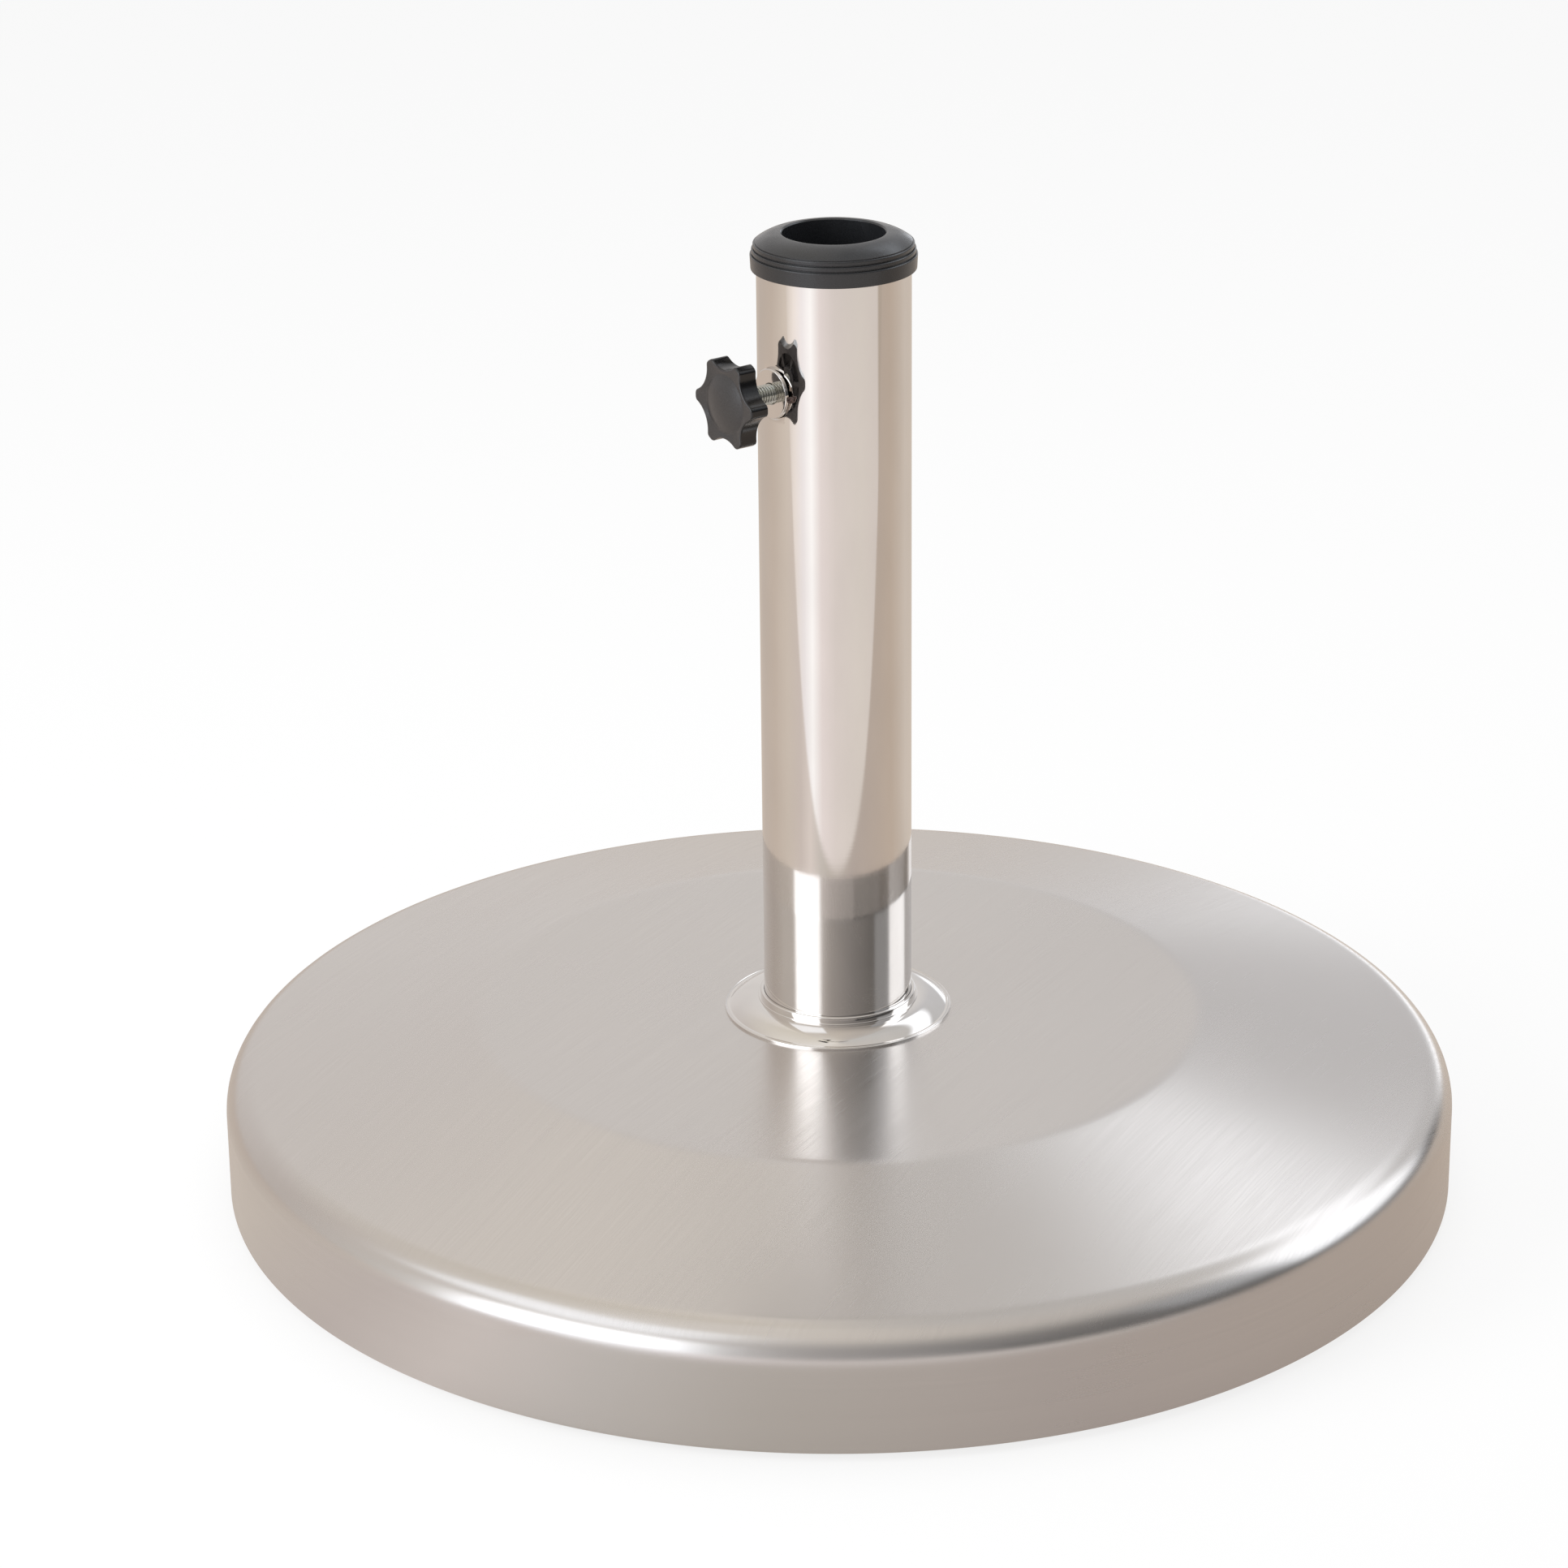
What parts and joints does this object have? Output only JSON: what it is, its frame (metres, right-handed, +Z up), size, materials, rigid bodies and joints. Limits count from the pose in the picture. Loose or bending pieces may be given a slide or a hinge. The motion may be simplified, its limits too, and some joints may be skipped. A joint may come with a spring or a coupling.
{
  "type": "parasol base",
  "caption": "Round concrete-filled parasol base under a brushed steel cover, with a polished clamping tube, a moulded top cap and a star knob clamp screw.",
  "frame": {"origin": "on the ground under the axis of the tube", "axes": "+Z up along the tube, -Y towards the clamp knob"},
  "size_m": [0.5, 0.5, 0.3952],
  "materials": {
    "brushed_steel": "brushed in one direction",
    "polished_steel": "polished stainless steel",
    "zinc_steel": "zinc plated",
    "raw_steel": "plain",
    "concrete": "cast",
    "black_plastic": "moulded",
    "cap_plastic": "satin moulded",
    "knob_plastic": "fine grained",
    "foot_rubber": "matte",
    "nylon": "natural"
  },
  "bodies": {
    "base": {"base_cover": "brushed_steel", "ballast": "concrete", "base_tray": "black_plastic", "foot_pad_1": "foot_rubber", "foot_pad_2": "foot_rubber", "foot_pad_3": "foot_rubber", "foot_pad_4": "foot_rubber", "foot_pad_5": "foot_rubber", "foot_pad_6": "foot_rubber", "foot_screws": "zinc_steel", "anchor_bolt": "zinc_steel", "anchor_spring_washer": "zinc_steel", "anchor_washer": "zinc_steel", "anchor_nut": "zinc_steel", "tube_foot_plate": "raw_steel", "pole_tube": "polished_steel", "rosette": "polished_steel", "clamp_nut": "polished_steel"},
    "cap": {"top_cap": "cap_plastic"},
    "pad": {"pressure_pad": "nylon"},
    "knob": {"knob_head": "knob_plastic", "knob_stud": "zinc_steel"}
  },
  "joints": [
    {"name": "cap_lift", "type": "slide", "parent": "base", "child": "cap", "axis": [0, 0, 1], "range_m": [0, 0.06]},
    {"name": "screw_feed", "type": "slide", "parent": "base", "child": "pad", "axis": [0, 1, 0], "range_m": [-0.004, 0.013]},
    {"name": "knob_turn", "type": "hinge", "parent": "pad", "child": "knob", "pos_m": [0, -0.046, 0.3363], "axis": [0, 1, 0], "range_deg": [-1150, 3740]}
  ],
  "couplings": [
    {"joint": "screw_feed", "follows": "knob_turn", "m_per_rad": 0.00019894}
  ]
}
